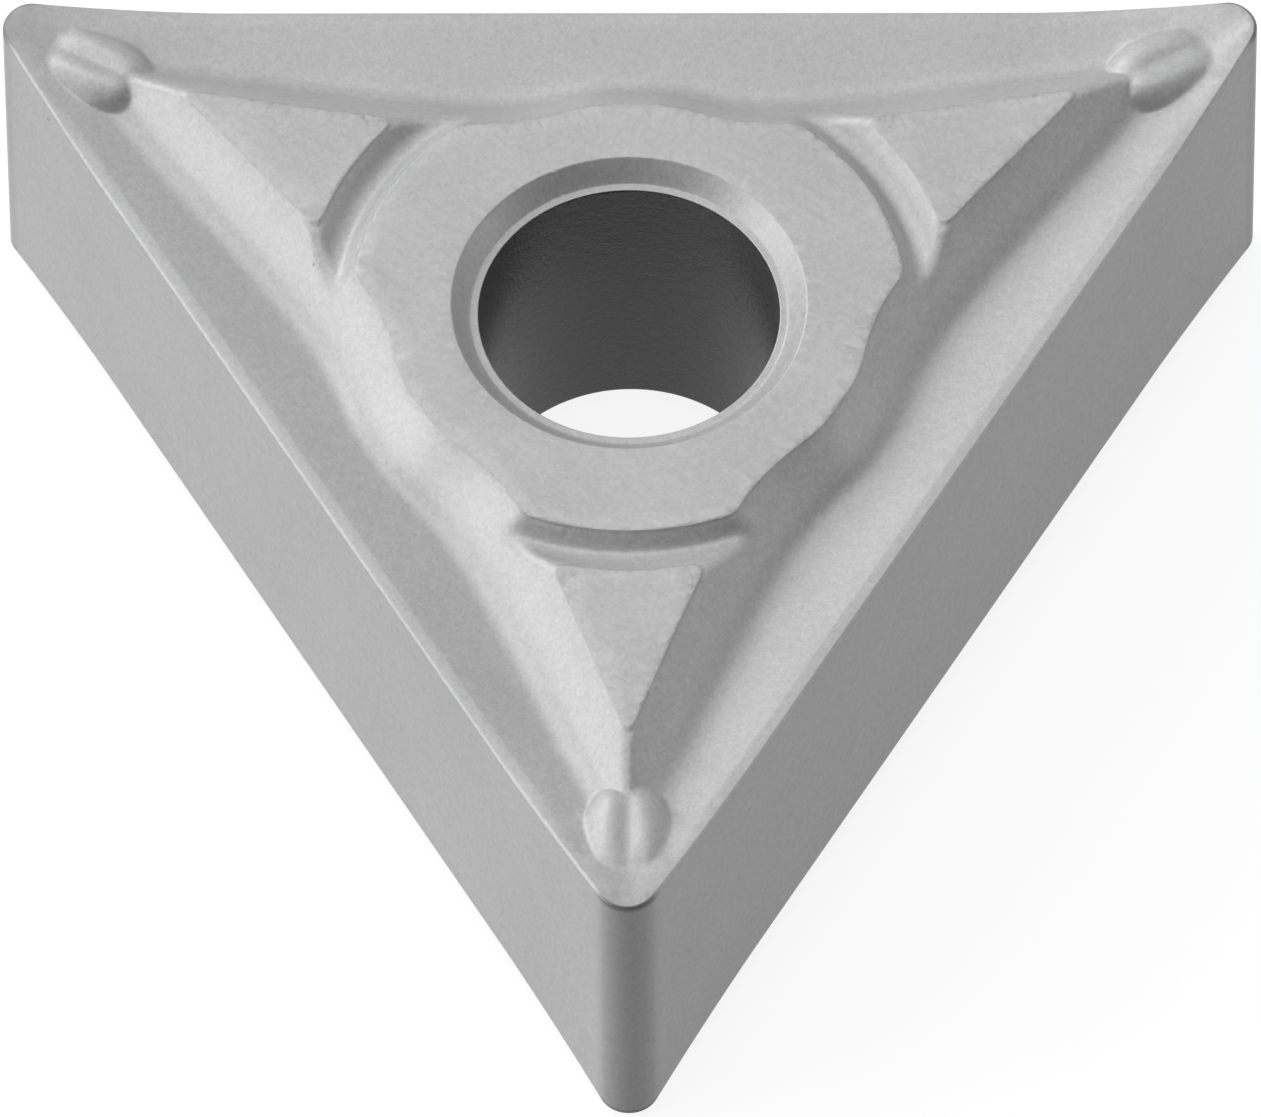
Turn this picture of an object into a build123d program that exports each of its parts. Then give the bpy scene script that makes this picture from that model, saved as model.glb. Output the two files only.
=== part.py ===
from build123d import *
import os
from math import cos, radians, sin, tan

# Double-sided triangular turning insert, pressed and sintered in carbide as one piece.
# Millimetres, +Z up. The origin is on the hole's axis at mid thickness, one nose points to -Y.
# Both faces are alike, and each side is the mirror image of itself about its middle.

# Outline
inscribed_radius = 4.7625        # from the hole's axis to each side face
nose_radius = 0.40
seat_height = 2.445              # from mid thickness to the ground seats of each face

# Clamping hole
bore_radius = 1.905
bore_ledge = 0.10                # flat ring left round the mouth of the bore
mouth_depth = 0.25
mouth_flare = 0.24               # how much wider the cone is at the seat than at the ledge

# Cutting edge: straight along the middle of a side, then rising to the noses
nose_edge_height = 2.315         # cutting edge above mid thickness, at the nose
edge_dip = 0.23                  # how far the straight part of the edge lies below the nose
edge_rise_length = 2.42          # length of the rising part, from the end of the side inwards
edge_rise_power = 1.55

# Chipbreaker groove, in a cut square to the cutting edge
land_width = 0.18                # level land along the straight part of the edge
land_fade = 1.2                  # length over which the land tips into the rake
land_end = 0.75                  # where it is all rake, from the end of the side inwards
rake_angle = 15.0
wall_angle = 40.0
groove_floor_radius = 0.42

# Wall line: the outline of the raised seats, straight along the arms and swelling at the hub
seat_tip_radius = 6.57           # from the hole's axis to the tip of a corner seat
arm_taper = 0.19                 # how far an arm's wall leans to the edge, for each mm along it
hub_swell = 0.88                 # how far the hub bulges past the line of the arms
hub_half_width = 1.20
hub_power = 2.5

# Arc groove between the hub and each corner seat
arc_groove_inner_radius = 3.48
arc_groove_width = 0.61
arc_groove_inner_flank = 41.0
arc_groove_outer_flank = 27.0
arc_groove_floor_radius = 0.12
arc_groove_sweep = 70.0

# Chip bump behind each nose: a barrel-shaped dome parted into two lobes by a valley
bump_centre_radius = 7.80
bump_length = 1.42               # at the foot
bump_width = 1.20
bump_bow_radius = 1.35           # of its two long sides, seen from above
bump_corner_radius = 0.45
bump_foot_height = 2.03          # above mid thickness
bump_crest_height = 2.30
bump_flank = 38.0
bump_shoulder_radius = 0.20
valley_width = 0.40
valley_flank = 25.0
valley_floor_radius = 0.10

# The groove's section is drawn at this many even steps along half a side
station_steps = 8
lead_in_steps = 2                # steps before the middle, so that both halves meet smoothly
lead_out_steps = 1               # steps past the end of the side, round the nose
overrun = 0.6                    # how far a cutting or shaping solid passes the insert's skin
bump_sink = 0.10                 # how far a bump's foot reaches down into the groove's floor
cut_tolerance = 1e-5

side_count = 3
sector = 360.0 / side_count
half_sector = sector / 2
corner_direction = 90 - half_sector    # of the corner at the end of the far side, from +X
nose_centre_radius = (inscribed_radius - nose_radius) / cos(radians(half_sector))
nose_centre_x = nose_centre_radius * sin(radians(half_sector))
nose_centre_y = nose_centre_radius * cos(radians(half_sector))
land_line = inscribed_radius - land_width


def edge_height(along):
    # height of the cutting edge, a distance along the side from its middle
    rise = max(0.0, abs(along) - (nose_centre_x - edge_rise_length)) / edge_rise_length
    return nose_edge_height - edge_dip * (1.0 - rise ** edge_rise_power)


def land_tilt(along):
    # level along the straight edge, then tipping until the land is part of the rake
    faded = (abs(along) - (nose_centre_x - land_end - land_fade)) / land_fade
    return rake_angle * min(1.0, max(0.0, faded))


def wall_line(along):
    # distance of the seat's outline from the hole's axis, square to the side
    tip_along = seat_tip_radius * sin(radians(half_sector))
    tip_across = seat_tip_radius * cos(radians(half_sector))
    straight = tip_across + arm_taper * (abs(along) - tip_along)
    return straight + hub_swell / (1.0 + (abs(along) / hub_half_width) ** hub_power)


def groove_section(along):
    # land, rake, rounded floor and wall as one closed face, square to the side
    edge_z = edge_height(along)
    wall_top = wall_line(along)
    land_slope = tan(radians(land_tilt(along)))
    rake_slope = tan(radians(rake_angle))
    wall_slope = tan(radians(wall_angle))
    rake_top_z = edge_z - land_width * land_slope
    rise = seat_height - rake_top_z + rake_slope * land_line + wall_slope * wall_top
    crease = rise / (rake_slope + wall_slope)
    crease_z = seat_height - wall_slope * (crease - wall_top)
    points = [
        (-overrun, -overrun),
        (inscribed_radius + overrun, -overrun),
        (inscribed_radius + overrun, edge_z + overrun * land_slope),
        (land_line, rake_top_z),
        (crease, crease_z),
        (wall_top - overrun / wall_slope, seat_height + overrun),
        (-overrun, seat_height + overrun),
    ]
    face = make_face(Polyline(*points, close=True))
    corner = face.vertices().sort_by_distance((crease, crease_z, 0))[0]
    face = fillet(corner, groove_floor_radius)
    return Plane.YZ.offset(along) * face


def half_side():
    # from the middle of a side round to the tip of the nose, above mid thickness
    steps = range(-lead_in_steps, station_steps + lead_out_steps + 1)
    form = loft([groove_section(nose_centre_x * i / station_steps) for i in steps])
    return form & corner_wedge()


def corner_wedge():
    # a sixth of the outline, from the middle of a side to the corner's bisector
    tip = (nose_centre_radius + nose_radius) * Vector(1, 0).rotate(Axis.Z, corner_direction)
    start = (nose_centre_x, inscribed_radius)
    nose_centre = (nose_centre_x, nose_centre_y)
    nose = CenterArc(nose_centre, nose_radius, corner_direction, half_sector)
    outline = Polyline(tip, (0, 0), (0, inscribed_radius), start)
    return extrude(make_face(outline + nose), seat_height)


def bump_outline(z):
    # level cut through the dome: two bowed sides, square ends, rounded corners
    inset = (z - bump_foot_height) / tan(radians(bump_flank))
    bow = Circle(bump_bow_radius - inset)
    bow_centre = bump_bow_radius - bump_width / 2
    ends = Rectangle(2 * bump_width, bump_length - 2 * inset)
    barrel = (Pos(bow_centre, 0) * bow) & (Pos(-bow_centre, 0) * bow) & ends
    barrel = fillet(barrel.vertices(), bump_corner_radius - inset)
    return Pos(0, -bump_centre_radius, z) * barrel


def chip_bump():
    # on the bisector of the front corner, its foot sunk into the groove's floor
    sunk_foot = bump_foot_height - bump_sink
    dome = loft([bump_outline(sunk_foot), bump_outline(bump_crest_height)])
    dome = fillet(dome.faces().sort_by(Axis.Z)[-1].edges(), bump_shoulder_radius)
    depth = valley_width / 2 * tan(radians(valley_flank))
    spread = overrun / tan(radians(valley_flank))
    profile = [
        (0, bump_crest_height - depth),
        (valley_width / 2 + spread, bump_crest_height + overrun),
        (-valley_width / 2 - spread, bump_crest_height + overrun),
    ]
    face = make_face(Polyline(*profile, close=True))
    face = fillet(face.vertices().sort_by(Axis.Y)[0], valley_floor_radius)
    run = bump_length + 2 * overrun
    return dome - extrude(Plane.XZ.offset(bump_centre_radius - run / 2) * face, run)


def arc_groove():
    # rounded V cut that parts the hub from the front corner's seat
    inner_slope = tan(radians(arc_groove_inner_flank))
    outer_slope = tan(radians(arc_groove_outer_flank))
    bottom = arc_groove_width * outer_slope / (inner_slope + outer_slope)
    outer_radius = arc_groove_inner_radius + arc_groove_width
    profile = [
        (arc_groove_inner_radius + bottom, seat_height - bottom * inner_slope),
        (outer_radius + overrun / outer_slope, seat_height + overrun),
        (arc_groove_inner_radius - overrun / inner_slope, seat_height + overrun),
    ]
    face = make_face(Polyline(*profile, close=True))
    face = Plane.XZ * fillet(face.vertices().sort_by(Axis.Y)[0], arc_groove_floor_radius)
    return Rot(0, 0, -90 - arc_groove_sweep / 2) * revolve(face, Axis.Z, arc_groove_sweep)


def clamping_hole():
    ledge_radius = bore_radius + bore_ledge
    ledge_z = seat_height - mouth_depth
    mouth_slope = mouth_flare / mouth_depth
    rim = (ledge_radius + mouth_flare + overrun * mouth_slope, seat_height + overrun)
    profile = [(0, -overrun), (bore_radius, -overrun), (bore_radius, ledge_z)]
    profile += [(ledge_radius, ledge_z), rim, (0, seat_height + overrun)]
    return revolve(Plane.XZ * make_face(Polyline(*profile, close=True)), Axis.Z)


def twelfth():
    # half a side above mid thickness, with its share of every groove, bump and hole
    to_corner = Rot(0, 0, 90 + corner_direction)
    piece = half_side() + (to_corner * chip_bump() & corner_wedge())
    return piece - to_corner * arc_groove() - clamping_hole()


def insert():
    # the twelfth's own skin, mirrored and turned, then closed into one solid
    across_corner = Vector(0, 1, 0).rotate(Axis.Z, corner_direction)
    bisector = Plane((0, 0, 0), x_dir=(0, 0, 1), z_dir=across_corner)
    cuts = (Plane.YZ, Plane.XY, bisector)
    skin = [
        face
        for face in twelfth().faces()
        if all(abs(cut.to_local_coords(face.center()).Z) > cut_tolerance for cut in cuts)
    ]
    skin += [mirror(face, Plane.YZ) for face in skin]
    skin += [mirror(face, Plane.XY) for face in skin]
    turned = [Rot(0, 0, sector * i) * face for i in range(side_count) for face in skin]
    return Solid(Shell(turned))


os.makedirs("parts", exist_ok=True)
export_step(insert(), "parts/insert.step")
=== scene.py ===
# A moulded turning insert in sintered carbide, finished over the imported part.
# Sizes are millimetres until the mesh is made; the scene itself is in metres.
import bpy
import numpy as np
from math import cos, hypot, pi, radians, sin, tan
from mathutils import Matrix, Vector
from mathutils.geometry import delaunay_2d_cdt
from mathutils.kdtree import KDTree


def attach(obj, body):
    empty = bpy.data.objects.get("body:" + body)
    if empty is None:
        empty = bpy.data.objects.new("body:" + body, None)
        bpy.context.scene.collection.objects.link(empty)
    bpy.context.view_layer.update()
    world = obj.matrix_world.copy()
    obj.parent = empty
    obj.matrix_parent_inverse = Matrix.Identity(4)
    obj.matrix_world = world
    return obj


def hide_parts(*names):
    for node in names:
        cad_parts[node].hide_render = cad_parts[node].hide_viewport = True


mm = 0.001
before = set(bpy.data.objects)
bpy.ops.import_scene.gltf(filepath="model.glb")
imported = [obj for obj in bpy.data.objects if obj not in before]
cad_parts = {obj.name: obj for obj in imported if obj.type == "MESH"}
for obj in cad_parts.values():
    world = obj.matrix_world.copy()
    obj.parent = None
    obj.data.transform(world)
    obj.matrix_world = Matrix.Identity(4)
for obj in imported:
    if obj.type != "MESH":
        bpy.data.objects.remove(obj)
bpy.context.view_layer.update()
print("frame loaded")


# insert
insertSizes = {
    "inscribedRadius": 4.7625,
    "noseRadius": 0.40,
    "seatHeight": 2.445,
    "sides": 3,
    "edgeHone": 0.045,          # radius of the honed cutting edge
    "noseEdge": 2.315,          # cutting edge above mid thickness, at the nose
    "edgeDip": 0.23,
    "edgeRiseLength": 2.42,
    "edgeRisePower": 1.55,
}
holeSizes = {
    "bore": 1.905,
    "ledge": 0.10,
    "depth": 0.25,
    "flare": 0.24,
    "blend": 0.012,
}
grooveSizes = {
    "land": 0.18,
    "landFade": 1.2,
    "landEnd": 0.75,
    "landBlend": 0.008,
    "rake": 15.0,
    "wall": 40.0,
    "hubWall": 43.5,            # steeper where the hub swells most
    "floorBlend": 0.23,         # height over which rake and wall run into each other
    "creaseBlend": 0.05,        # the two rakes, where they meet behind the nose
    "ridgeBlend": 0.20,         # the two walls, where they meet in front of a corner seat
}
wallSizes = {
    "seatTip": 6.61,            # where the two walls would meet without their rounding
    "armTaper": 0.19,
    "armRound": 0.35,           # the taper turns over this length at the middle of the side
    "hubSwell": 0.79,
    "hubHalfWidth": 1.20,
    "hubPower": 2.5,
    "seatBlend": 0.016,
    "rimStep": 0.012,           # the press leaves a fine steep step all round a seat
    "rimDepth": 0.05,
}
arcSizes = {
    "inner": 3.50,
    "width": 0.59,
    "innerFlank": 47.0,
    "outerFlank": 40.0,
    "depth": 0.20,
    "floorTilt": 6.0,           # the floor rises towards the corner seat
    "tiltStart": 0.20,          # from the hub's lip to where the floor is at its depth
    "floorBlend": 0.08,
    "hubLip": 0.06,             # where the flanks run into the walls, on the hub's side
    "seatLip": 0.20,            # and on the corner seat's side
}
bumpSizes = {
    "centre": 7.77,
    "halfWidth": 0.585,         # at the foot, where the sides bow out most
    "sideRadius": 1.2,
    "noseEnd": 0.88,            # from the centre to the foot of each end
    "axisEnd": 0.69,
    "foot": 2.03,
    "crest": 2.30,
    "crestFall": 0.06,          # for each mm towards the nose
    "flank": 41.0,
    "noseFlank": 36.0,
    "noseShare": 0.7,           # the sides bow less towards the nose
    "axisFlank": 50.0,
    "lobeCentre": 0.23,         # off the bisector, where a lobe reaches furthest to the axis
    "lobeRound": 4.0,
    "lobeNotch": 0.9,           # the same towards the bisector
    "valleyHalf": 0.20,
    "valleyFlank": 27.0,
    "valleyBlend": 0.07,
    "crestBlend": 0.19,
    "baseBlend": 0.04,
}

cornerAngle = radians(90 - 180 / insertSizes["sides"])   # of the corner's bisector, from +X
noseCentreRadius = (insertSizes["inscribedRadius"] - insertSizes["noseRadius"]) / sin(cornerAngle)
noseCentreX = noseCentreRadius * cos(cornerAngle)
noseCentreY = noseCentreRadius * sin(cornerAngle)
landLine = insertSizes["inscribedRadius"] - grooveSizes["land"]


def higher(a, b, blend):
    # the higher of two surfaces, run together where they differ by less than blend
    near = np.maximum(blend - np.abs(a - b), 0) / blend
    return np.maximum(a, b) + near * near * blend / 4


def lower(a, b, blend):
    return -higher(-a, -b, blend)


def slope(degrees):
    return tan(radians(degrees))


def fromBisector(x, y):
    # across the corner's bisector, positive on the far side's share
    return y * cos(cornerAngle) - x * sin(cornerAngle)


def acrossCorner(x, y):
    c, s = cos(2 * cornerAngle), sin(2 * cornerAngle)
    return x * c + y * s, x * s - y * c


def edgeHeight(along):
    s = insertSizes
    rise = np.maximum(0, np.abs(along) - (noseCentreX - s["edgeRiseLength"])) / s["edgeRiseLength"]
    return s["noseEdge"] - s["edgeDip"] * (1 - rise ** s["edgeRisePower"])


def landSlope(along):
    g = grooveSizes
    faded = (np.abs(along) - (noseCentreX - g["landEnd"] - g["landFade"])) / g["landFade"]
    return np.tan(np.radians(g["rake"] * np.clip(faded, 0, 1)))


def hubShare(along):
    w = wallSizes
    return 1 / (1 + (np.abs(along) / w["hubHalfWidth"]) ** w["hubPower"])


def wallLine(along):
    w = wallSizes
    tipAlong = w["seatTip"] * cos(cornerAngle)
    tipAcross = w["seatTip"] * sin(cornerAngle)
    straight = tipAcross + w["armTaper"] * (np.hypot(along, w["armRound"]) - tipAlong)
    return straight + w["hubSwell"] * hubShare(along)


def rakeHeight(along, across):
    g = grooveSizes
    edge = edgeHeight(along)
    tilt = landSlope(along)
    land = edge - tilt * (insertSizes["inscribedRadius"] - across)
    rake = edge - tilt * g["land"] - slope(g["rake"]) * (landLine - across)
    return lower(land, rake, g["landBlend"])


def wallHeight(along, across):
    g = grooveSizes
    steepness = slope(g["wall"]) + (slope(g["hubWall"]) - slope(g["wall"])) * hubShare(along)
    return insertSizes["seatHeight"] - steepness * (across - wallLine(along))


def arcLip(radius):
    a = arcSizes
    share = np.clip((radius - a["inner"]) / a["width"], 0, 1)
    return a["hubLip"] + (a["seatLip"] - a["hubLip"]) * share


def arcHeight(radius):
    a = arcSizes
    seat = insertSizes["seatHeight"]
    innerWall = seat - slope(a["innerFlank"]) * (radius - a["inner"])
    outerWall = seat + slope(a["outerFlank"]) * (radius - a["inner"] - a["width"])
    floor = seat - a["depth"] + slope(a["floorTilt"]) * (radius - a["inner"] - a["tiltStart"])
    return higher(innerWall, higher(outerWall, floor, a["floorBlend"]), a["floorBlend"])


def bumpHeight(x, y):
    # barrel-shaped dome parted by a valley, each lobe with a rounded tip towards the axis
    b = bumpSizes
    v = x * cos(cornerAngle) + y * sin(cornerAngle) - b["centre"]
    u = np.abs(fromBisector(x, y))
    bow = np.where(v > 0, b["noseShare"] * v, v)
    fromSide = b["sideRadius"] - np.hypot(u + b["sideRadius"] - b["halfWidth"], bow)
    lobeBend = np.where(u > b["lobeCentre"], b["lobeRound"], b["lobeNotch"])
    fromTip = b["axisEnd"] + v - lobeBend * (u - b["lobeCentre"]) ** 2
    noseSlope = slope(b["noseFlank"]) * (b["noseEnd"] - v)
    ends = b["foot"] + lower(noseSlope, slope(b["axisFlank"]) * fromTip, b["crestBlend"])
    dome = lower(b["foot"] + slope(b["flank"]) * fromSide, ends, b["crestBlend"])
    crest = b["crest"] - b["crestFall"] * v
    rise = slope(b["valleyFlank"]) * u
    valleyDepth = b["valleyHalf"] * slope(b["valleyFlank"])
    valley = crest - valleyDepth + higher(rise, -rise, b["valleyBlend"])
    return lower(dome, lower(valley, crest, b["crestBlend"]), b["crestBlend"])


def holeHeight(radius):
    h = holeSizes
    ledge = insertSizes["seatHeight"] - h["depth"]
    cone = ledge + (radius - h["bore"] - h["ledge"]) * h["depth"] / h["flare"]
    return higher(cone, ledge + 0 * radius, h["blend"])


def formHeight(x, y):
    # the pressed form over the far side's share, before its seats are ground level
    g = grooveSizes
    mx, my = acrossCorner(x, y)
    rakes = higher(rakeHeight(x, y), rakeHeight(mx, my), g["creaseBlend"])
    walls = lower(wallHeight(x, y), wallHeight(mx, my), g["ridgeBlend"])
    form = higher(rakes, walls, g["floorBlend"])
    radius = np.hypot(x, y)
    form = lower(form, arcHeight(radius), arcLip(radius))
    return higher(form, bumpHeight(x, y), bumpSizes["baseBlend"])


def topHeight(x, y):
    w = wallSizes
    form = formHeight(x, y)
    below = np.clip((insertSizes["seatHeight"] - form) / w["rimDepth"], 0, 1)
    stepped = form - w["rimStep"] * 6.75 * below * (1 - below) ** 2    # 6.75 brings the peak to 1
    ground = lower(stepped, insertSizes["seatHeight"] + 0 * x, w["seatBlend"])
    return lower(ground, holeHeight(np.hypot(x, y)), holeSizes["blend"])


rimSizes = {
    "probe": 0.002,             # step over which the form's slope is taken
    "leastSlope": 0.3,
    "reach": 0.2,               # the wear and the painted shade by the edges end well within this
}


def rimDistance(x, y):
    # from the edge of the ground seats, in millimetres and positive on the seat
    r = rimSizes
    d = r["probe"]
    steepX = (formHeight(x + d, y) - formHeight(x - d, y)) / (2 * d)
    steepY = (formHeight(x, y + d) - formHeight(x, y - d)) / (2 * d)
    steep = np.maximum(np.hypot(steepX, steepY), r["leastSlope"])
    away = (formHeight(x, y) - insertSizes["seatHeight"]) / steep
    return np.clip(away, -r["reach"], r["reach"])


meshSizes = {
    "edgeStep": 0.06,           # along the cutting edge
    "wallStep": 0.04,           # along the seat's outline
    "noseSteps": 12,
    "honeSteps": 5,
    "bisectorStep": 0.035,
    "middleStep": 0.06,
    "boreStep": 2.0,            # degrees
    "arcStep": 0.9,
    "arcSweep": 27.0,
    "finest": 0.032,
    "levels": 4,
    "flatness": 0.0007,         # how far a facet may leave the surface
    "clear": 0.55,              # share of the local step kept free beside a drawn line
    "inside": 0.3,              # the same inside the borders, in shares of the finest step
    "insideEdge": 0.4,
    "borderClear": 0.4,         # share of a border's step kept free beside a drawn line's end
    "bisectorGap": 0.004,       # drawn lines end this far before the bisector
    "crispOffset": 0.012,
    "landOffsets": (-0.015, 0.0, 0.015),
    "rimOffsets": (-0.01, 0.0, 0.014, 0.05),
    "ledgeRings": (0.015, 0.045),
    "sideRows": (0.97, 0.9, 0.45, 0.0),    # shares of the height under the hone
    "boreRow": 0.03,            # under the ledge
    "tiny": 1e-9,
    "weld": 0.0005,
    "seatMargin": 0.0004,
    "boreMargin": 0.001,
}
noseShadeSizes = {
    "start": 0.15,              # the painted shade on the nose starts this far before the nose
    "fade": 0.2,
    "faint": 0.3,               # share of the painted shade left beside the hone
}


def cornerPoint(radius):
    return (radius * cos(cornerAngle), radius * sin(cornerAngle))


def outlineRim():
    # plan of the cutting edge from the middle of the side to the nose's tip, inside the hone
    m, s = meshSizes, insertSizes
    inset = s["edgeHone"]
    across = s["inscribedRadius"] - inset
    count = round(noseCentreX / m["edgeStep"])
    rim = [(noseCentreX * i / count, across) for i in range(count + 1)]
    radius = s["noseRadius"] - inset
    for i in range(1, m["noseSteps"] + 1):
        a = radians(90) + (cornerAngle - radians(90)) * i / m["noseSteps"]
        rim.append((noseCentreX + radius * cos(a), noseCentreY + radius * sin(a)))
    return rim


def rimNormals(rim):
    normals = []
    for x, y in rim:
        if x <= noseCentreX + meshSizes["tiny"]:
            normals.append((0.0, 1.0))
        else:
            d = Vector((x - noseCentreX, y - noseCentreY)).normalized()
            normals.append((d.x, d.y))
    return normals


def evenRun(start, end, step):
    count = max(1, round(abs(end - start) / step))
    return [start + (end - start) * i / count for i in range(count + 1)]


def arcRun(radius, first, last, step):
    return [(radius * cos(a), radius * sin(a)) for a in evenRun(first, last, step)]


def mouthRun(radius):
    return arcRun(radius, cornerAngle, radians(90), radians(meshSizes["boreStep"]))


def drawnLines():
    # lines of the surface that the mesh follows: seat outline, arc groove, hole's mouth, land
    m = meshSizes
    lines = []
    tip = cornerPoint(wallSizes["seatTip"])
    side = [(along, float(wallLine(along))) for along in evenRun(0.0, tip[0], m["wallStep"])]
    side[-1] = tip
    for offset in m["rimOffsets"]:
        run = []
        for (x0, y0), (x1, y1) in zip(side, side[1:]):
            d = Vector((x1 - x0, y1 - y0)).normalized()
            run.append((x0 - d.y * offset, y0 + d.x * offset))
        run[0] = (0.0, run[0][1])
        lines.append([p for p in run if fromBisector(*p) > m["bisectorGap"]])
    a = arcSizes
    arcEnd = cornerAngle + radians(m["arcSweep"])
    for radius, outwards in ((a["inner"], 1), (a["inner"] + a["width"], -1)):
        for offset in m["rimOffsets"]:
            arcRadius = radius + outwards * offset
            lines.append(arcRun(arcRadius, cornerAngle, arcEnd, radians(m["arcStep"])))
    h = holeSizes
    for radius in (h["bore"] + h["ledge"], h["bore"] + h["ledge"] + h["flare"]):
        for offset in (-m["crispOffset"], 0.0, m["crispOffset"]):
            lines.append(mouthRun(radius + offset))
    for offset in m["ledgeRings"]:
        lines.append(mouthRun(h["bore"] + offset))
    fadeEnd = noseCentreX - grooveSizes["landEnd"]
    for offset in m["landOffsets"]:
        lines.append([(x, landLine + offset) for x in evenRun(0.0, fadeEnd, m["edgeStep"])])
    return lines


def fillPoints(taken):
    # nested square grids: finer where the surface bends more
    m, s = meshSizes, insertSizes
    step = m["finest"]
    xs = np.arange(0, noseCentreX + s["noseRadius"], step)
    ys = np.arange(0, s["inscribedRadius"], step)
    ix, iy = np.meshgrid(np.arange(len(xs)), np.arange(len(ys)))
    x, y = ix * step, iy * step
    margin = m["inside"] * step
    inside = (fromBisector(x, y) > margin) & (np.hypot(x, y) > holeSizes["bore"] + margin)
    inside &= x > margin
    inside &= y < s["inscribedRadius"] - s["edgeHone"] - m["insideEdge"] * step
    fromNose = np.hypot(x - noseCentreX, y - noseCentreY)
    inside &= (x <= noseCentreX) | (fromNose < s["noseRadius"] - s["edgeHone"] - margin)
    d = 0.5 * step
    here = topHeight(x, y)
    bendX = np.abs(topHeight(x + d, y) + topHeight(x - d, y) - 2 * here)
    bendY = np.abs(topHeight(x, y + d) + topHeight(x, y - d) - 2 * here)
    bendT = np.abs(topHeight(x + d, y + d) + topHeight(x - d, y - d) - 2 * here) / 2
    bend = np.maximum(np.maximum(bendX, bendY), bendT) / (d * d)
    wanted = np.sqrt(8 * m["flatness"] / np.maximum(bend, 1e-6))
    keep = np.zeros(x.shape, bool)
    local = np.full(x.shape, step)
    for level in range(m["levels"]):
        size = 2 ** level
        coarsest = level == m["levels"] - 1
        onGrid = (ix % size == 0) & (iy % size == 0)
        keep |= onGrid & ((wanted < step * size * 2) | coarsest)
        local = np.where(onGrid, step * size, local)
    keep &= inside
    room = m["clear"] * np.minimum(local[keep], np.maximum(step, wanted[keep]))
    tree = KDTree(len(taken))
    for i, p in enumerate(taken):
        tree.insert((p[0], p[1], 0), i)
    tree.balance()
    points = []
    for a, b, free in zip(x[keep], y[keep], room):
        if tree.find((a, b, 0))[2] > free:
            points.append((float(a), float(b)))
    return points


def borderRun(start, end, step, marks):
    # even steps along a border, giving way to the ends of the drawn lines
    clear = meshSizes["borderClear"] * step
    run = evenRun(start, end, step)[1:-1]
    run = [r for r in run if all(abs(r - mark) > clear for mark in marks)]
    return sorted(run + marks, reverse=start > end)


def addStrip(verts, faces, last, rows):
    # bands of quads, from a row already in the mesh to each new row in turn
    for row in rows:
        base = len(verts)
        verts.extend(row)
        for i in range(len(row) - 1):
            faces.append([last[i], last[i + 1], base + i + 1, base + i])
        last = [base + i for i in range(len(row))]


def addField(mesh, name, values):
    field = mesh.attributes.new(name, "FLOAT", "POINT")
    field.data.foreach_set("value", values.astype(np.float32))


def noseShadeShare(rim, firstRow, honeStart, rowCount, total):
    # painted shade on the nose: 1 on the nose's hone, faint on the rim above it and on the nose's
    # side
    n = noseShadeSizes
    roundNose = np.clip((np.array(rim)[:, 0] - noseCentreX + n["start"]) / n["fade"], 0, 1)
    honed = np.zeros(total)
    honed[firstRow] = n["faint"] * roundNose
    for k in range(rowCount):
        first = honeStart + k * len(rim)
        share = 1.0 if k < meshSizes["honeSteps"] else n["faint"]
        honed[first:first + len(rim)] = roundNose * share
    return honed


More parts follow.
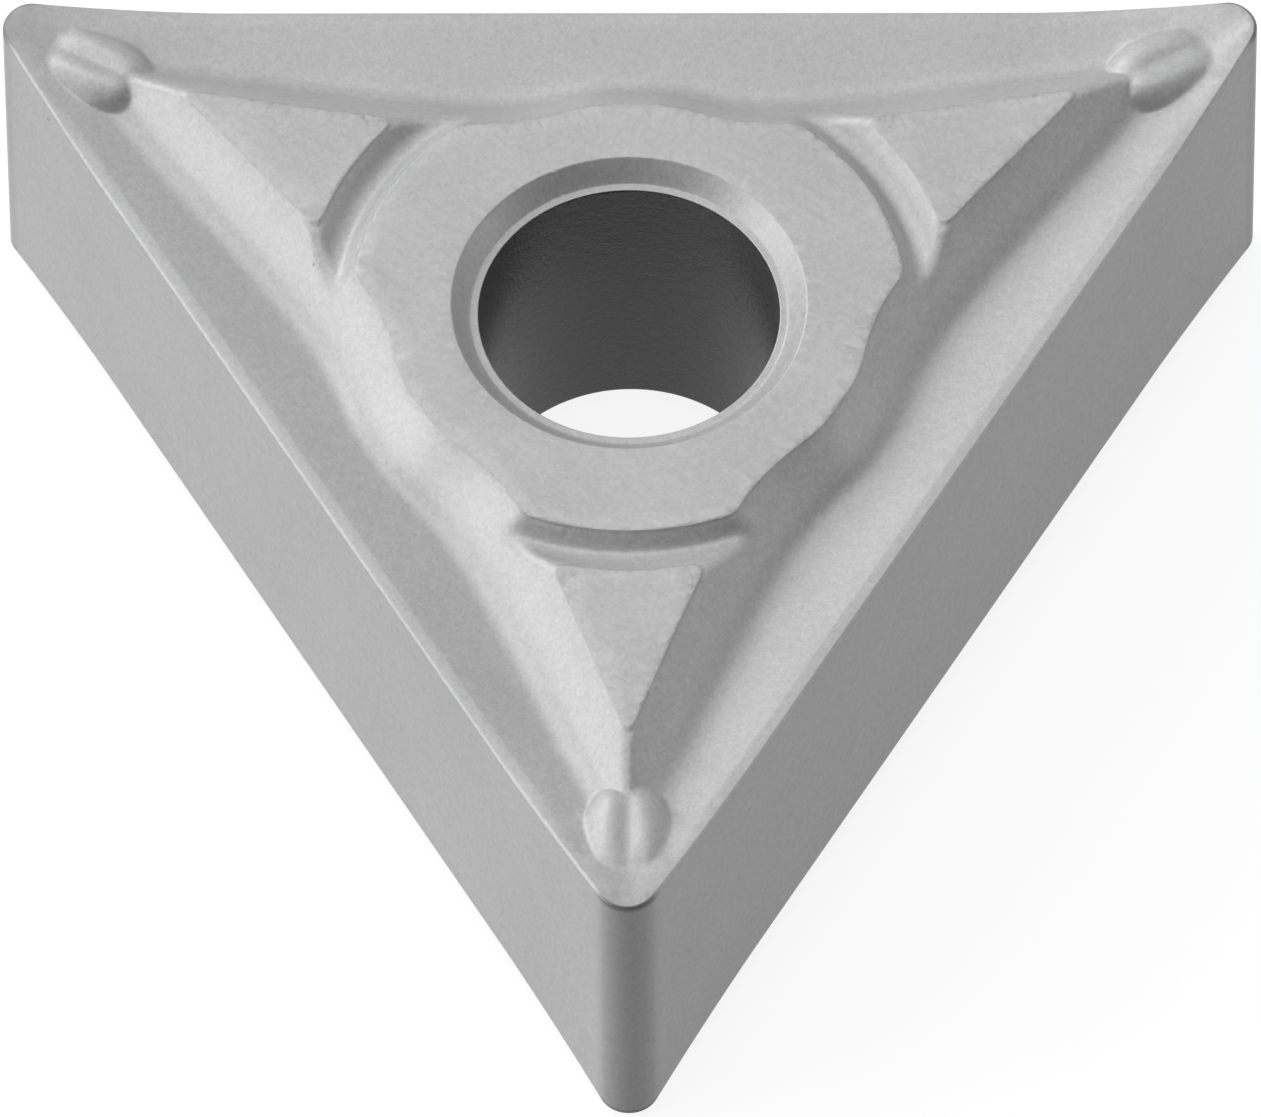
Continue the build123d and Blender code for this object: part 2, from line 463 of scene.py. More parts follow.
def twelfthMesh():
    # half of one side, upper half of the thickness: top face, hone, side and bore
    m, s, h = meshSizes, insertSizes, holeSizes
    rim = outlineRim()
    tip = noseCentreRadius + s["noseRadius"] - s["edgeHone"]
    lines = drawnLines()
    ends = [p for line in lines for p in (line[0], line[-1])]
    onBisector = [hypot(*p) for p in ends if abs(fromBisector(*p)) < m["tiny"]]
    onMiddle = [p[1] for p in ends if abs(p[0]) < m["tiny"]]
    bisector = [cornerPoint(r) for r in borderRun(tip, h["bore"], m["bisectorStep"], onBisector)]
    bisector.append(cornerPoint(h["bore"]))
    bore = mouthRun(h["bore"])[1:]
    bore[-1] = (0.0, h["bore"])
    edgeY = s["inscribedRadius"] - s["edgeHone"]
    middle = [(0.0, y) for y in borderRun(h["bore"], edgeY, m["middleStep"], onMiddle)]
    loop = rim + bisector + bore + middle
    points = list(loop)
    edges = []
    for line in lines:
        edges += [(len(points) + i, len(points) + i + 1) for i in range(len(line) - 1)]
        points += line
    points += fillPoints(points)
    flat = delaunay_2d_cdt([Vector(p) for p in points], edges, [list(range(len(loop)))], 1, 1e-6)
    plan, faces, origins = flat[0], flat[2], flat[3]
    x = np.array([p.x for p in plan])
    y = np.array([p.y for p in plan])
    verts = list(zip(x, y, topHeight(x, y)))
    faces = [list(f) for f in faces]
    found = {o: i for i, group in enumerate(origins) for o in group}
    firstRow = [found[i] for i in range(len(rim))]
    normals = rimNormals(rim)
    tops = [verts[i][2] for i in firstRow]
    rows = []
    for k in range(1, m["honeSteps"] + 1):
        a = radians(90) * k / m["honeSteps"]
        out, down = s["edgeHone"] * sin(a), s["edgeHone"] * (1 - cos(a))
        rows.append([
            (p[0] + n[0] * out, p[1] + n[1] * out, z - down)
            for p, n, z in zip(rim, normals, tops)
        ])
    for share in m["sideRows"]:
        rows.append([(p[0], p[1], p[2] * share) for p in rows[m["honeSteps"] - 1]])
    honeStart = len(verts)
    addStrip(verts, faces, firstRow, rows)
    boreRow = [found[len(rim) + len(bisector) - 1 + i] for i in range(len(bore) + 1)]
    ledge = verts[boreRow[0]][2]
    ring = [verts[i][:2] for i in boreRow]
    levels = (ledge - m["boreRow"], ledge * 0.5, 0.0)
    addStrip(verts, faces, boreRow, [[(*place, z) for place in ring] for z in levels])
    mesh = bpy.data.meshes.new("twelfth")
    mesh.from_pydata([(a * mm, b * mm, c * mm) for a, b, c in verts], [], faces)
    mesh.update()
    places = np.array([v[:2] for v in verts])
    addField(mesh, "rimDistance", rimDistance(places[:, 0], places[:, 1]))
    # painted shade on the nose, kept as a point field
    addField(mesh, "noseHoneShade", noseShadeShare(rim, firstRow, honeStart, len(rows), len(verts)))
    print("twelfth:", len(verts), "points,", sum(len(f) - 2 for f in faces), "triangles")
    return mesh


def nodeAt(tree, kind, x, y, **settings):
    node = tree.nodes.new(kind)
    node.location = (x, y)
    for name, value in settings.items():
        setattr(node, name, value)
    return node


def mathAt(group, operation, x, y, first, second=None, third=None, clamp=False):
    node = nodeAt(group, "ShaderNodeMath", x, y, operation=operation, use_clamp=clamp)
    for socket, value in zip(node.inputs, (first, second, third)):
        if value is None:
            continue
        if isinstance(value, (int, float)):
            socket.default_value = value
        else:
            group.links.new(value, socket)
    return node.outputs[0]


def addObject(name, data):
    added = bpy.data.objects.new(name, data)
    bpy.context.scene.collection.objects.link(added)
    return added


def finishAt(tree, x, shape, finish, selection=None):
    node = nodeAt(tree, "GeometryNodeSetMaterial", x, 200)
    tree.links.new(shape, node.inputs["Geometry"])
    tree.links.new(finish, node.inputs["Material"])
    if selection is not None:
        tree.links.new(selection, node.inputs["Selection"])
    return node.outputs[0]


def repeatTree():
    # mirrors the twelfth into a whole side, turns it round the hole and gives it its finishes
    tree = bpy.data.node_groups.new("insertFromTwelfth", "GeometryNodeTree")
    tree.interface.new_socket("Geometry", in_out="INPUT", socket_type="NodeSocketGeometry")
    for name, kind in (
        ("Sides", "NodeSocketInt"),
        ("Weld Distance", "NodeSocketFloat"),
        ("Seat Height", "NodeSocketFloat"),
        ("Pressed Finish", "NodeSocketMaterial"),
        ("Ground Finish", "NodeSocketMaterial"),
        ("Bore Radius", "NodeSocketFloat"),
        ("Bore Shade Finish", "NodeSocketMaterial"),
    ):
        tree.interface.new_socket(name, in_out="INPUT", socket_type=kind)
    tree.interface.new_socket("Geometry", in_out="OUTPUT", socket_type="NodeSocketGeometry")
    link = tree.links.new
    source = nodeAt(tree, "NodeGroupInput", -1600, 0)
    shape = source.outputs["Geometry"]
    for i, flip in enumerate(((-1, 1, 1), (1, 1, -1))):
        x = -1400 + 500 * i
        mirrored = nodeAt(tree, "GeometryNodeTransform", x, -200)
        mirrored.inputs["Scale"].default_value = flip
        link(shape, mirrored.inputs["Geometry"])
        turned = nodeAt(tree, "GeometryNodeFlipFaces", x + 180, -200)
        link(mirrored.outputs[0], turned.inputs[0])
        joined = nodeAt(tree, "GeometryNodeJoinGeometry", x + 340, 0)
        link(shape, joined.inputs[0])
        link(turned.outputs[0], joined.inputs[0])
        shape = joined.outputs[0]
    spots = nodeAt(tree, "GeometryNodePoints", -700, 300)
    link(source.outputs["Sides"], spots.inputs["Count"])
    index = nodeAt(tree, "GeometryNodeInputIndex", -900, 500)
    share = mathAt(tree, "DIVIDE", -700, 500, index.outputs[0], source.outputs["Sides"])
    turn = nodeAt(tree, "ShaderNodeCombineXYZ", -340, 500)
    link(mathAt(tree, "MULTIPLY", -520, 500, share, radians(360)), turn.inputs["Z"])
    placed = nodeAt(tree, "GeometryNodeInstanceOnPoints", -160, 200)
    link(spots.outputs[0], placed.inputs["Points"])
    link(shape, placed.inputs["Instance"])
    link(turn.outputs[0], placed.inputs["Rotation"])
    real = nodeAt(tree, "GeometryNodeRealizeInstances", 40, 200)
    link(placed.outputs[0], real.inputs[0])
    weld = nodeAt(tree, "GeometryNodeMergeByDistance", 220, 200)
    link(real.outputs[0], weld.inputs["Geometry"])
    link(source.outputs["Weld Distance"], weld.inputs["Distance"])
    smooth = nodeAt(tree, "GeometryNodeSetShadeSmooth", 400, 200)
    link(weld.outputs[0], smooth.inputs["Geometry"])
    pressed = finishAt(tree, 580, smooth.outputs[0], source.outputs["Pressed Finish"])
    place = nodeAt(tree, "GeometryNodeInputPosition", 220, -100)
    parts = nodeAt(tree, "ShaderNodeSeparateXYZ", 400, -100)
    link(place.outputs[0], parts.inputs[0])
    onSeat = nodeAt(tree, "FunctionNodeCompare", 760, -100, data_type="FLOAT")
    onSeat.operation = "GREATER_EQUAL"
    link(mathAt(tree, "ABSOLUTE", 580, -100, parts.outputs["Z"]), onSeat.inputs["A"])
    link(source.outputs["Seat Height"], onSeat.inputs["B"])
    ground = finishAt(tree, 940, pressed, source.outputs["Ground Finish"], onSeat.outputs[0])
    flat = nodeAt(tree, "ShaderNodeCombineXYZ", 580, -350)
    link(parts.outputs["X"], flat.inputs["X"])
    link(parts.outputs["Y"], flat.inputs["Y"])
    reach = nodeAt(tree, "ShaderNodeVectorMath", 760, -350, operation="LENGTH")
    link(flat.outputs[0], reach.inputs[0])
    inBore = nodeAt(tree, "FunctionNodeCompare", 940, -350, data_type="FLOAT")
    inBore.operation = "LESS_EQUAL"
    link(reach.outputs["Value"], inBore.inputs["A"])
    link(source.outputs["Bore Radius"], inBore.inputs["B"])
    # the bore's finish carries painted shade
    bore = finishAt(tree, 1140, ground, source.outputs["Bore Shade Finish"], inBore.outputs[0])
    result = nodeAt(tree, "NodeGroupOutput", 1340, 200)
    link(bore, result.inputs[0])
    return tree


def setInput(modifier, name, value):
    for item in modifier.node_group.interface.items_tree:
        if item.item_type == "SOCKET" and item.in_out == "INPUT" and item.name == name:
            modifier[item.identifier] = value


def makeInsert(pressedCarbide, groundCarbide, boreShadeCarbide):
    m = meshSizes
    start = addObject("twelfth", twelfthMesh())
    modifier = start.modifiers.new("repeat", "NODES")
    modifier.node_group = repeatTree()
    for name, value in (
        ("Sides", insertSizes["sides"]),
        ("Weld Distance", m["weld"] * mm),
        ("Seat Height", (insertSizes["seatHeight"] - m["seatMargin"]) * mm),
        ("Pressed Finish", pressedCarbide),
        ("Ground Finish", groundCarbide),
        ("Bore Radius", (holeSizes["bore"] + m["boreMargin"]) * mm),
        ("Bore Shade Finish", boreShadeCarbide),
    ):
        setInput(modifier, name, value)
    bpy.context.view_layer.update()
    whole = start.evaluated_get(bpy.context.evaluated_depsgraph_get())
    mesh = bpy.data.meshes.new_from_object(whole)
    mesh.name = "carbideInsert"
    start.modifiers.clear()
    bpy.data.objects.remove(start)
    piece = addObject("carbideInsert", mesh)
    print("insert:", len(mesh.vertices), "points,", len(mesh.polygons), "faces")
    return piece


# finishes
noiseShape = {
    "roughness": 0.6,
    "toothDetail": 1.0,
    "mottleDetail": 2.0,
    "cloudDetail": 0.0,
    "markPatches": (3.0, 0.6),  # contrast and level of the patches where marks break off
    "poreWobbleScale": 20.0,
    "poreWobble": 0.05,
    "poreSharpness": 90.0,
    "rimFineScale": 9.0,
    "rimPatchScale": 3.0,
    "rimPatches": (2.2, 0.75),
}


def shaderGroup(name, inputs, outputs):
    group = bpy.data.node_groups.new(name, "ShaderNodeTree")
    for label, kind, value in inputs:
        socket = group.interface.new_socket(label, in_out="INPUT", socket_type="NodeSocket" + kind)
        socket.default_value = value
    for label in outputs:
        group.interface.new_socket(label, in_out="OUTPUT", socket_type="NodeSocketFloat")
    source = nodeAt(group, "NodeGroupInput", -1300, 0)
    return group, source, nodeAt(group, "NodeGroupOutput", 1100, 0)


def surfacePlace(group):
    # place on the piece in millimetres
    place = nodeAt(group, "ShaderNodeTexCoord", -1300, 400)
    perMm = nodeAt(group, "ShaderNodeMapping", -1100, 400)
    perMm.inputs["Scale"].default_value = (1 / mm, 1 / mm, 1 / mm)
    group.links.new(place.outputs["Object"], perMm.inputs["Vector"])
    return perMm.outputs[0]


def noiseAt(group, place, scale, x, y, detail=2.0):
    # noise round zero, at a scale given by a value or by a socket
    noise = nodeAt(group, "ShaderNodeTexNoise", x, y)
    noise.inputs["Detail"].default_value = detail
    noise.inputs["Roughness"].default_value = noiseShape["roughness"]
    group.links.new(place, noise.inputs["Vector"])
    if isinstance(scale, float):
        noise.inputs["Scale"].default_value = scale
    else:
        group.links.new(scale, noise.inputs["Scale"])
    return mathAt(group, "SUBTRACT", x + 180, y, noise.outputs[0], 0.5)


def grainGroup():
    # grain of pressed and sintered powder: a fine tooth, a soft mottle and slow cloudy patches
    group, source, result = shaderGroup(
        "sinteredGrain",
        [
            ("Tooth Scale", "Float", 26.0),
            ("Mottle Scale", "Float", 5.0),
            ("Cloud Scale", "Float", 0.5),
        ],
        ["Tooth", "Mottle", "Cloud"],
    )
    place = surfacePlace(group)
    for i, name in enumerate(("Tooth", "Mottle", "Cloud")):
        detail = noiseShape[name.lower() + "Detail"]
        level = noiseAt(group, place, source.outputs[name + " Scale"], -600, 400 - 260 * i, detail)
        group.links.new(level, result.inputs[name])
    return group


def marksGroup():
    # fine lines left by a wheel or a die: noise drawn out along one direction
    group, source, result = shaderGroup(
        "drawnMarks",
        [("Turn", "Vector", (0, 0, 0)), ("Stretch", "Vector", (1, 1, 1)), ("Breaks", "Float", 1.0)],
        ["Marks"],
    )
    place = surfacePlace(group)
    turned = nodeAt(group, "ShaderNodeVectorRotate", -800, 300, rotation_type="EULER_XYZ")
    group.links.new(place, turned.inputs["Vector"])
    group.links.new(source.outputs["Turn"], turned.inputs["Rotation"])
    drawn = nodeAt(group, "ShaderNodeVectorMath", -600, 300, operation="MULTIPLY")
    group.links.new(turned.outputs[0], drawn.inputs[0])
    group.links.new(source.outputs["Stretch"], drawn.inputs[1])
    lines = noiseAt(group, drawn.outputs[0], 1.0, -400, 300)
    patches = noiseAt(group, place, source.outputs["Breaks"], -400, 0, 0.0)
    share = mathAt(group, "MULTIPLY_ADD", 0, 0, patches, *noiseShape["markPatches"], clamp=True)
    group.links.new(mathAt(group, "MULTIPLY", 300, 200, lines, share), result.inputs["Marks"])
    return group


def pitsGroup():
    # a few pores and specks, scattered with no order
    group, source, result = shaderGroup(
        "strayPores",
        [("Spacing", "Float", 1.0), ("Radius", "Float", 0.03), ("Share", "Float", 0.3)],
        ["Pore"],
    )
    place = surfacePlace(group)
    wobble = noiseAt(group, place, noiseShape["poreWobbleScale"], -900, 0, 0.0)
    cells = nodeAt(group, "ShaderNodeTexVoronoi", -600, 300)
    group.links.new(place, cells.inputs["Vector"])
    spacing = source.outputs["Spacing"]
    group.links.new(mathAt(group, "DIVIDE", -800, 200, 1.0, spacing), cells.inputs["Scale"])
    away = mathAt(group, "MULTIPLY", -400, 300, cells.outputs["Distance"], spacing)
    ragged = mathAt(group, "MULTIPLY_ADD", -200, 300, wobble, noiseShape["poreWobble"], away)
    parts = nodeAt(group, "ShaderNodeSeparateColor", -400, 0)
    group.links.new(cells.outputs["Color"], parts.inputs[0])
    size = mathAt(group, "MULTIPLY", -200, 100, parts.outputs["Green"], source.outputs["Radius"])
    inside = mathAt(group, "SUBTRACT", 0, 300, size, ragged)
    soft = mathAt(group, "MULTIPLY", 200, 300, inside, noiseShape["poreSharpness"], clamp=True)
    chosen = mathAt(group, "LESS_THAN", 0, 0, parts.outputs["Red"], source.outputs["Share"])
    group.links.new(mathAt(group, "MULTIPLY", 400, 200, soft, chosen), result.inputs["Pore"])
    return group


def edgeGroup():
    # wear and painted shade by the edges: a ragged dark line of painted shade round a ground seat,
    # a lighter burnished strip inside it, and painted shade on the honed nose
    group, source, result = shaderGroup(
        "edgeWearAndShade",
        [("Width", "Float", 0.02), ("Raggedness", "Float", 0.03), ("Strip Width", "Float", 0.1)],
        ["Rim", "Strip", "Nose"],
    )
    edge = nodeAt(group, "ShaderNodeAttribute", -1100, 100, attribute_name="rimDistance")
    nose = nodeAt(group, "ShaderNodeAttribute", -1100, -500, attribute_name="noseHoneShade")
    group.links.new(nose.outputs["Fac"], result.inputs["Nose"])
    place = surfacePlace(group)
    fine = noiseAt(group, place, noiseShape["rimFineScale"], -900, 400, 1.0)
    patches = noiseAt(group, place, noiseShape["rimPatchScale"], -900, -200, 0.0)
    ragged = source.outputs["Raggedness"]
    moved = mathAt(group, "MULTIPLY_ADD", -500, 200, fine, ragged, edge.outputs["Fac"])
    away = mathAt(group, "ABSOLUTE", -300, 200, moved)
    share = mathAt(group, "DIVIDE", -100, 200, away, source.outputs["Width"])
    line = mathAt(group, "SUBTRACT", 100, 200, 1.0, share, clamp=True)
    contrast, level = noiseShape["rimPatches"]
    strength = mathAt(group, "MULTIPLY_ADD", 100, -100, patches, contrast, level, clamp=True)
    group.links.new(mathAt(group, "MULTIPLY", 400, 100, line, strength), result.inputs["Rim"])
    inwards = mathAt(group, "DIVIDE", -100, -300, moved, source.outputs["Strip Width"])
    fromMiddle = mathAt(group, "SUBTRACT", 0, -300, inwards, 1.0)
    middle = mathAt(group, "ABSOLUTE", 100, -300, fromMiddle)
    band = mathAt(group, "SUBTRACT", 250, -300, 1.0, middle, clamp=True)
    group.links.new(mathAt(group, "MULTIPLY", 400, -300, band, strength), result.inputs["Strip"])
    return group


def placeGroup(tree, group, values, x, y):
    node = nodeAt(tree, "ShaderNodeGroup", x, y, node_tree=group)
    for label, value in values.items():
        node.inputs[label].default_value = value
    return node.outputs


def weighted(tree, x, y, terms):
    # sum of masks, each times its weight
    total = None
    for i, (mask, weight) in enumerate(terms):
        operation = "MULTIPLY" if total is None else "MULTIPLY_ADD"
        total = mathAt(tree, operation, x + 180 * i, y, mask, weight, total)
    return total


def overTone(tree, x, y, tone, low, high):
    # from low to high while the tone goes from -0.5 to 0.5
    ranged = nodeAt(tree, "ShaderNodeMapRange", x, y)
    for label, value in zip(("From Min", "From Max", "To Min", "To Max"), (-0.5, 0.5, low, high)):
        ranged.inputs[label].default_value = value
    tree.links.new(tone, ranged.inputs["Value"])
    return ranged.outputs[0]


def carbideMaterial(name, finish):
    material = bpy.data.materials.new(name)
    material.use_nodes = True
    tree = material.node_tree
    shader = tree.nodes["Principled BSDF"]
    shader.inputs["Metallic"].default_value = finish["metallic"]
    grain = placeGroup(tree, sinteredGrain, finish["grain"], -1700, 400)
    marks = placeGroup(tree, drawnMarks, finish["marks"], -1700, 100)
    pores = placeGroup(tree, strayPores, finish["pores"], -1700, -200)
    edge = placeGroup(tree, edgeWearAndShade, finish["edge"], -1700, -500)
    weights = finish["tone"]
    tone = weighted(tree, -1400, 500, (
        (grain["Tooth"], weights["tooth"]),
        (grain["Mottle"], weights["mottle"]),
        (grain["Cloud"], weights["cloud"]),
        (marks["Marks"], weights["marks"]),
        (edge["Strip"], weights["strip"]),
    ))
    shade = overTone(tree, -500, 600, tone, 0.0, 1.0)
    colour = nodeAt(tree, "ShaderNodeMix", -400, 400, data_type="RGBA")
    colour.inputs["A"].default_value = (*finish["dark"], 1)
    colour.inputs["B"].default_value = (*finish["light"], 1)
    tree.links.new(shade, colour.inputs["Factor"])
    poreStain = mathAt(tree, "MULTIPLY", -1400, -300, pores["Pore"], finish["poreStain"])
    # painted shade: a ragged dark line along the edges of the ground seats
    rimPaintedShade = mathAt(tree, "MULTIPLY", -1400, -450, edge["Rim"], finish["rimPaintedShade"])
    # dark pores are the carbide's own marks; the rim line and the nose's darkening mixed in here
    # are painted shade
    stainAndShadeShare = mathAt(tree, "MAXIMUM", -1200, -300, poreStain, rimPaintedShade)
    # painted shade: the honed nose, and faintly the nose's side, are darkened here
    stainAndShadeShare = mathAt(tree, "MAXIMUM", -1000, -300, stainAndShadeShare, edge["Nose"])
    stainedAndShaded = nodeAt(tree, "ShaderNodeMix", -200, 300, data_type="RGBA")
    stainedAndShaded.inputs["B"].default_value = (*finish["stainAndShade"], 1)
    tree.links.new(colour.outputs["Result"], stainedAndShaded.inputs["A"])
    tree.links.new(stainAndShadeShare, stainedAndShaded.inputs["Factor"])
    tree.links.new(stainedAndShaded.outputs["Result"], shader.inputs["Base Color"])
    tree.links.new(overTone(tree, -400, 0, tone, *finish["roughness"]), shader.inputs["Roughness"])
    relief = finish["relief"]
    height = weighted(tree, -1100, -600, (
        (grain["Tooth"], relief["tooth"]),
        (grain["Mottle"], relief["mottle"]),
        (marks["Marks"], relief["marks"]),
        (pores["Pore"], -relief["pores"]),
        (edge["Rim"], -relief["rim"]),
    ))
    bump = nodeAt(tree, "ShaderNodeBump", -200, -300)
    bump.inputs["Strength"].default_value = 1.0
    bump.inputs["Distance"].default_value = mm
    tree.links.new(height, bump.inputs["Height"])
    tree.links.new(bump.outputs[0], shader.inputs["Normal"])
    return material


pressedFinish = {
    "metallic": 0.2,
    "dark": (0.36, 0.36, 0.363),
    "light": (0.58, 0.58, 0.582),
    "stainAndShade": (0.18, 0.18, 0.183),
    "roughness": (0.40, 0.52),
    "grain": {"Tooth Scale": 26.0, "Mottle Scale": 11.0, "Cloud Scale": 0.6},
    "marks": {"Turn": (0, 0, 0), "Stretch": (0.15, 0.15, 5.0), "Breaks": 0.5},
    "pores": {"Spacing": 1.1, "Radius": 0.045, "Share": 0.3},
    "edge": {"Width": 0.030, "Raggedness": 0.05, "Strip Width": 0.1},
    "rimPaintedShade": 0.30,
    "poreStain": 0.9,
    "tone": {"tooth": 0.65, "mottle": 0.75, "cloud": 0.3, "marks": 0.3, "strip": 0.0},
    # in millimetres
    "relief": {"tooth": 0.0018, "mottle": 0.0036, "marks": 0.001, "pores": 0.008, "rim": 0.003},
}
groundFinish = {
    "metallic": 0.2,
    "dark": (0.36, 0.36, 0.363),
    "light": (0.57, 0.57, 0.572),
    "stainAndShade": (0.20, 0.20, 0.203),
    "roughness": (0.38, 0.48),
    "grain": {"Tooth Scale": 28.0, "Mottle Scale": 12.0, "Cloud Scale": 0.7},
    "marks": {"Turn": (0, 0, radians(38)), "Stretch": (0.8, 16.0, 1.0), "Breaks": 1.4},
    "pores": {"Spacing": 0.9, "Radius": 0.04, "Share": 0.3},
    "edge": {"Width": 0.034, "Raggedness": 0.09, "Strip Width": 0.09},
    "rimPaintedShade": 0.50,
    "poreStain": 0.9,
    "tone": {"tooth": 0.5, "mottle": 0.7, "cloud": 0.35, "marks": 0.5, "strip": 0.22},
    "relief": {"tooth": 0.0013, "mottle": 0.0022, "marks": 0.0012, "pores": 0.006, "rim": 0.005},
}
# painted shade: the bore's colours are made dark to stand in for the shade inside the hole
boreShadeFinish = {
    "metallic": 0.2,
    "dark": (0.035, 0.035, 0.036),
    "light": (0.12, 0.12, 0.122),
    "stainAndShade": (0.05, 0.05, 0.051),
    "roughness": (0.34, 0.46),
    "grain": {"Tooth Scale": 22.0, "Mottle Scale": 8.0, "Cloud Scale": 0.8},
    "marks": {"Turn": (0, 0, 0), "Stretch": (0.3, 0.3, 6.0), "Breaks": 0.8},
    "pores": {"Spacing": 1.0, "Radius": 0.05, "Share": 0.4},
    "edge": {"Width": 0.001, "Raggedness": 0.0, "Strip Width": 0.1},
    "rimPaintedShade": 0.0,
    "poreStain": 0.9,
    "tone": {"tooth": 1.2, "mottle": 1.1, "cloud": 0.4, "marks": 0.4, "strip": 0.0},
    "relief": {"tooth": 0.004, "mottle": 0.006, "marks": 0.001, "pores": 0.008, "rim": 0.0},
}
sinteredGrain = grainGroup()
drawnMarks = marksGroup()
strayPores = pitsGroup()
edgeWearAndShade = edgeGroup()
print("finishes ready")
insert = makeInsert(
    carbideMaterial("pressedCarbide", pressedFinish),
    carbideMaterial("groundCarbide", groundFinish),
    carbideMaterial("boreShadeCarbide", boreShadeFinish),
)
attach(insert, "root")
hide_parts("insert")


# studio
studio = {
    "floorSize": 900.0,
    "floorGap": 0.004,          # under the seats that rest on it, so that the two don't flicker
    "floorColour": (0.22, 0.22, 0.22, 1),
    "floorGlow": 0.88,          # added where the floor is seen, so that it shows white
    "floorRoughness": 0.9,
    "floorSpecular": 0.1,
    "worldFill": 0.01,
    "darkSide": (285.0, 42.0),  # direction round and up of the unlit part of the room
    "darkEdge": (0.2, 0.8),     # cosine of the angle to it where it begins, and where it is full
    "darkLevel": 0.15,
    "lampDistance": 260.0,
    "lampSize": 120.0,
    "lamps": [
        # name, direction round and up in degrees, brightness
        ("leftLowSoftbox", 190.0, 4.0, 5.6),
        ("backLowSoftbox", 165.0, 4.0, 2.65),
        ("leftFrontSoftbox", 200.0, 30.0, 1.9),
        ("leftSoftbox", 180.0, 30.0, 2.2),
        ("backLeftSoftbox", 150.0, 55.0, 2.05),
        ("backSoftbox", 130.0, 30.0, 4.55),
        ("backHighSoftbox", 110.0, 55.0, 1.0),
        ("rightHighSoftbox", 60.0, 55.0, 0.95),
        ("topSoftbox", 90.0, 88.0, 3.1),
        ("rightLowSoftbox", 350.0, 4.0, 3.8),
    ],
}
cameraFit = {
    "elevation": 55.38,         # degrees
    "swing": 0.0094,            # radians round the hole's axis
    "roll": -0.0085,
    "distance": 386.87,
    "pixelsPerMm": 79.209,
    "aim": (0.0134, -2.2358),
    "imageWidth": 1261,
    "sensor": 36.0,
    "clip": (0.01, 20),         # metres
}


def makeCamera():
    c = cameraFit
    e = radians(c["elevation"])
    back = Vector((sin(c["swing"]) * cos(e), -cos(c["swing"]) * cos(e), sin(e)))
    right = Vector((cos(c["swing"]), sin(c["swing"]), 0))
    up = back.cross(right)
    cr, sr = cos(c["roll"]), sin(c["roll"])
    right, up = cr * right + sr * up, -sr * right + cr * up
    place = Vector((*c["aim"], 0)) + back * c["distance"]
    data = bpy.data.cameras.new("photoCamera")
    camera = addObject("photoCamera", data)
    rows = [(right[i], up[i], back[i], place[i] * mm) for i in range(3)]
    camera.matrix_world = Matrix((*rows, (0, 0, 0, 1)))
    data.sensor_width = c["sensor"]
    data.sensor_fit = "HORIZONTAL"
    data.lens = c["sensor"] * c["pixelsPerMm"] * c["distance"] / c["imageWidth"]
    data.clip_start, data.clip_end = c["clip"]
    bpy.context.scene.camera = camera


def seenDirectly(tree, x, y):
    # 1 for camera, glossy and transmission rays
    path = nodeAt(tree, "ShaderNodeLightPath", x, y)
    total = path.outputs["Is Camera Ray"]
    for name in ("Is Glossy Ray", "Is Transmission Ray"):
        total = mathAt(tree, "MAXIMUM", x + 200, y, total, path.outputs[name])
    return total


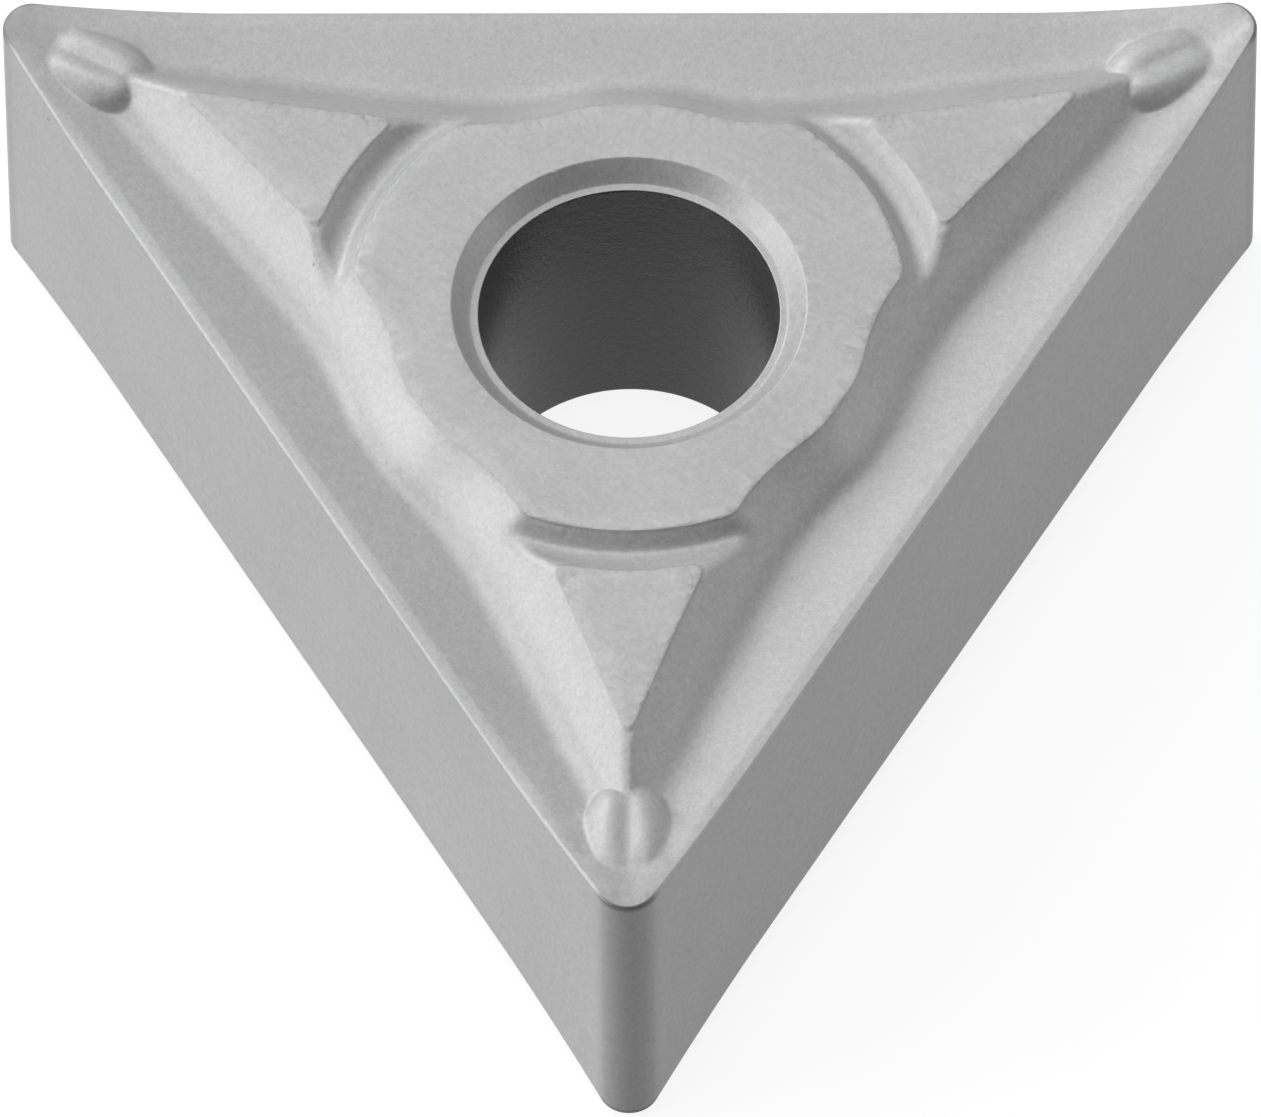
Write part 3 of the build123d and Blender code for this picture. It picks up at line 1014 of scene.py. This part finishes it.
def makeFloor():
    half = studio["floorSize"] / 2 * mm
    z = -(insertSizes["seatHeight"] + studio["floorGap"]) * mm
    mesh = bpy.data.meshes.new("floor")
    corners = [(-half, -half, z), (half, -half, z), (half, half, z), (-half, half, z)]
    mesh.from_pydata(corners, [], [(0, 1, 2, 3)])
    floor = addObject("floor", mesh)
    material = bpy.data.materials.new("paleFloor")
    material.use_nodes = True
    material.cycles.emission_sampling = "NONE"    # the glow is there to be seen, not to light
    tree = material.node_tree
    shader = tree.nodes["Principled BSDF"]
    shader.inputs["Base Color"].default_value = studio["floorColour"]
    shader.inputs["Roughness"].default_value = studio["floorRoughness"]
    shader.inputs["Specular IOR Level"].default_value = studio["floorSpecular"]
    shader.inputs["Emission Color"].default_value = (1, 1, 1, 1)
    seen = seenDirectly(tree, -600, 300)
    glow = mathAt(tree, "MULTIPLY", -100, 300, seen, studio["floorGlow"])
    tree.links.new(glow, shader.inputs["Emission Strength"])
    mesh.materials.append(material)


def makeLamps():
    size = studio["lampSize"] * mm
    for name, around, up, brightness in studio["lamps"]:
        a, e = radians(around), radians(up)
        direction = Vector((cos(e) * cos(a), cos(e) * sin(a), sin(e)))
        data = bpy.data.lights.new(name, "AREA")
        data.shape = "SQUARE"
        data.size = size
        data.energy = brightness * pi * size * size
        lamp = addObject(name, data)
        lamp.location = direction * studio["lampDistance"] * mm
        lamp.rotation_euler = direction.to_track_quat("Z", "Y").to_euler()


def makeWorld():
    # seen as white, with one side of the room unlit, and nearly dark as a light
    world = bpy.data.worlds.new("studioWorld")
    world.cycles.sampling_method = "NONE"
    bpy.context.scene.world = world
    world.use_nodes = True
    tree = world.node_tree
    background = tree.nodes["Background"]
    background.inputs["Color"].default_value = (1, 1, 1, 1)
    around, up = (radians(v) for v in studio["darkSide"])
    place = nodeAt(tree, "ShaderNodeTexCoord", -1200, -300)
    facing = nodeAt(tree, "ShaderNodeVectorMath", -1000, -300, operation="DOT_PRODUCT")
    facing.inputs[1].default_value = (cos(up) * cos(around), cos(up) * sin(around), sin(up))
    tree.links.new(place.outputs["Generated"], facing.inputs[0])
    room = nodeAt(tree, "ShaderNodeMapRange", -800, -300, interpolation_type="SMOOTHSTEP")
    room.inputs["From Min"].default_value = studio["darkEdge"][0]
    room.inputs["From Max"].default_value = studio["darkEdge"][1]
    room.inputs["To Min"].default_value = 1.0
    room.inputs["To Max"].default_value = studio["darkLevel"]
    tree.links.new(facing.outputs["Value"], room.inputs["Value"])
    level = nodeAt(tree, "ShaderNodeMapRange", -250, 0)
    level.inputs["To Min"].default_value = studio["worldFill"]
    tree.links.new(room.outputs[0], level.inputs["To Max"])
    tree.links.new(seenDirectly(tree, -800, 0), level.inputs["Value"])
    tree.links.new(level.outputs[0], background.inputs["Strength"])


makeCamera()
makeFloor()
makeLamps()
makeWorld()
bpy.context.scene.view_settings.view_transform = "Standard"
print("studio ready")
